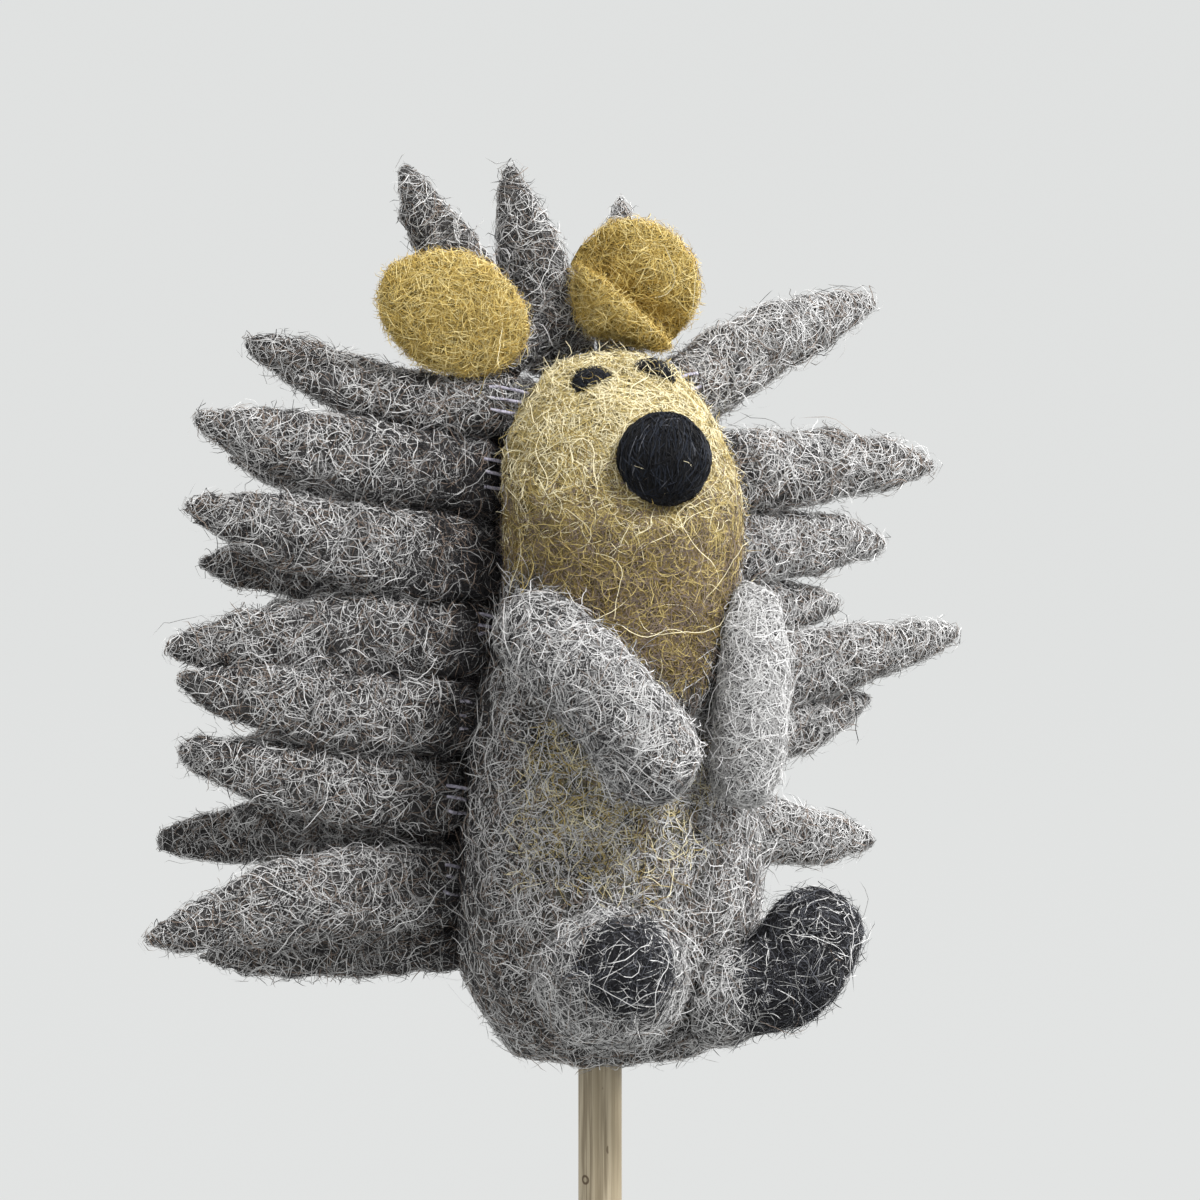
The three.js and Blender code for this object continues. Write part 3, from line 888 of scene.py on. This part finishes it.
def make_eye(side):
    """A short slit of black felt, lower at its outer end."""
    sign = 1 if side == "left" else -1

    def narrowed(points):
        centre = points.mean(axis=0)
        local = points - centre
        tilt = sign * math.radians(24)
        across = np.array([math.cos(tilt), 0, -math.sin(tilt)])
        up = np.array([math.sin(tilt) * 0.8, 0.6, math.cos(tilt) * 0.8])
        up = unit(up - across * (up @ across))
        local += np.outer(local @ across, across) * 0.3 - np.outer(local @ up, up) * 0.38
        arched = 0.35 * MM - (local @ across) ** 2 / (9 * MM)
        return centre + local + np.outer(arched, up) + np.array([0, 0.1, -0.1]) * MM

    name = "eye_" + side
    eye = felt_core(
        "felt_" + name, [name], "puppet", "black_felt", COAL_TONE,
        voxel=0.25, smooth=3, swell=0.05, lump=0.1, shape=narrowed,
    )
    add_fibres(
        name + "_fibres", eye, "puppet", BLACK_WOOL,
        per_mm2=12, length=(0.8, 2.0), width=(0.05, 0.09), flyaway=(0.1, 0.4),
    )
    add_fibres(
        name + "_lashes", eye, "puppet", BEIGE_WOOL,
        per_mm2=0.9, length=(1.5, 3.0), width=(0.05, 0.08), lie=(0.1, 0.3),
    )


# ------------------------------------------------------------------ spikes and their stitches


def body_of(node):
    bodies = frame["record"]["behaviour"]["bodies"]
    return next(name for name, nodes in bodies.items() if node in nodes)


def make_spikes():
    """Grey felt leaves, dark at their roots. Those on bodies of their own stay where they are."""

    # Darker towards the roots by the body: partly darker wool, partly painted shade where the spikes crowd
    # against the body.
    def dark_root_and_shade_share(points):
        x, y, height = from_hem(points)
        return smooth_share(np.hypot(x, y), 25, 14) * smooth_share(height, 72, 66)

    # The felt darkens at the roots with darker wool and painted shade.
    def tone(points):
        return mixed(dark_root_and_shade_share(points), GREY_TONE, DARK_WOOL_AND_SHADE_TONE)

    # Fibre bias: darker at the roots (darker wool and painted shade), darker towards -x (darker wool and
    # painted shade), and lighter towards +x, the lamp-lit side, as painted light.
    def shade(points):
        x = points[:, 0] / MM
        return 0.4 * dark_root_and_shade_share(points) + 0.10 * smooth_share(x, 5, -10) - 0.12 * smooth_share(x, 8, 20)

    spikes = {}
    for node in sorted(frame["nodes"]):
        if not node.startswith("spike_"):
            continue
        body = body_of(node)
        if body != "puppet":
            body = bending(body, [node], SPIKE_BEND)
        swell = 0.2 if "crown" in node else 0.5
        spike = felt_core("felt_" + node, [node], body, "grey_felt", tone, swell=swell, lump=0.6)
        add_fibres(
            node + "_fibres", spike, body, GREY_WOOL,
            length=(1.8, 5.5), loose=0.22, along=long_way(spike.points), combed=0.4, bias=shade,
        )
        add_strays(node + "_strays", spike, body, GREY_WOOL, per_mm2=0.03)
        spikes[node] = spike
    return spikes


def stitch(skin, spike, root_points, sign, lift):
    """A short bowed path from the skin to the front of a spike's root, lift mm above the root's middle. sign
    is 1 on the puppet's left and -1 on its right."""
    middle = root_points.mean(axis=0)
    front = np.array([[middle[0], root_points[:, 1].min(), middle[2] + lift * MM]])
    start, start_normal = skin.nearest(front + np.array([-sign * 1.2, -0.6, -0.3]) * MM)
    end, end_normal = spike.nearest(front + np.array([sign * 2.6, 0.2, 0.4]) * MM)
    share = np.linspace(0, 1, STITCH_POINTS)[:, None]
    outward = unit(start_normal + end_normal)
    proud = 0.15 + 0.45 * np.sin(share * math.pi)
    return start + (end - start) * share + outward * proud * MM


def make_stitches(skin, spikes):
    """Short pale stitches that hold the front spikes on, three to each."""
    material = thread_material()
    for side, sign in (("right", -1), ("left", 1)):
        name = "stitches_" + side
        curve = bpy.data.curves.new(name, "CURVE")
        curve.dimensions = "3D"
        curve.bevel_depth = STITCH_RADIUS
        curve.bevel_resolution = 3
        curve.use_fill_caps = True
        curve.materials.append(material)
        for node in sorted(spikes):
            if not node.startswith(f"spike_{side}_front"):
                continue
            points = node_mesh(node)[0]
            reach = np.abs(points[:, 0])
            root_points = points[reach < reach.min() + 2 * MM]
            for lift in (-1.2, 0.0, 1.2):
                path = stitch(skin, spikes[node], root_points, sign, lift)
                spline = curve.splines.new("POLY")
                spline.points.add(STITCH_POINTS - 1)
                for point, place in zip(spline.points, path):
                    point.co = (*place, 1)
        stitches = new_object(name, curve)
        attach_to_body(stitches, "puppet")
        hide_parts("thread_" + side)


# ------------------------------------------------------------------ stick and wad


def make_stick():
    """The round stick again, with flattened ridges along its grain and eased ends."""
    low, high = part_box("stick")
    relief = 0.05 * MM
    radius = (high.x - low.x) / 2 - relief
    sides, rings, ease = 72, 60, 0.35 * MM
    middle_heights = np.linspace(low.z + 2 * MM, high.z - 2 * MM, rings)
    heights = [low.z, low.z + ease, *middle_heights, high.z - ease, high.z]
    insets = [ease, 0, *([0] * rings), 0, ease]
    points = [(0, 0, low.z)]
    faces = []
    for ring, (z, inset) in enumerate(zip(heights, insets)):
        for i in range(sides):
            angle = 2 * math.pi * i / sides
            cos, sin = math.cos(angle), math.sin(angle)
            r = radius - inset + relief * noise.noise(Vector((cos * 4, sin * 4, z * 30)))
            points.append((r * cos, r * sin, z))
            a = 1 + ring * sides + i
            b = 1 + ring * sides + (i + 1) % sides
            if ring == 0:
                faces.append((0, b, a))
            else:
                faces.append((a - sides, b - sides, b, a))
    top = len(points)
    points.append((0, 0, high.z))
    first = top - sides
    faces += [(top, first + i, first + (i + 1) % sides) for i in range(sides)]
    mesh = bpy.data.meshes.new("bamboo_stick")
    mesh.from_pydata(points, [], faces)
    mesh.shade_smooth()
    mesh.materials.append(bamboo_material())
    stick = new_object("bamboo_stick", mesh)
    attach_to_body(stick, "stick")
    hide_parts("stick")


def make_wad():
    """The loose wool inside that grips the stick."""
    wad = felt_core("felt_wad", ["wool_wad"], "puppet", "loose_wool", LOOSE_TONE, swell=0.05, lump=0.4)
    add_fibres("wad_fibres", wad, "puppet", LOOSE_WOOL, per_mm2=1.5, length=(3, 7), loose=0.3)


# ------------------------------------------------------------------ assembly

add_camera()
add_stage()
add_light()
skin = make_skin()
make_arms()
make_leg("right", blend=2.5)
make_leg("left", blend=3.0)
make_ear("right", (-1.0, 0.0, 0.35))
make_ear("left", (-0.2, 0.1, 1.0), tone=cupped_tone_with_hollow_shade, shape=cupped, bias=painted_hollow_shade)
make_nose()
make_eye("left")
make_eye("right")
make_stitches(skin, make_spikes())
make_stick()
make_wad()
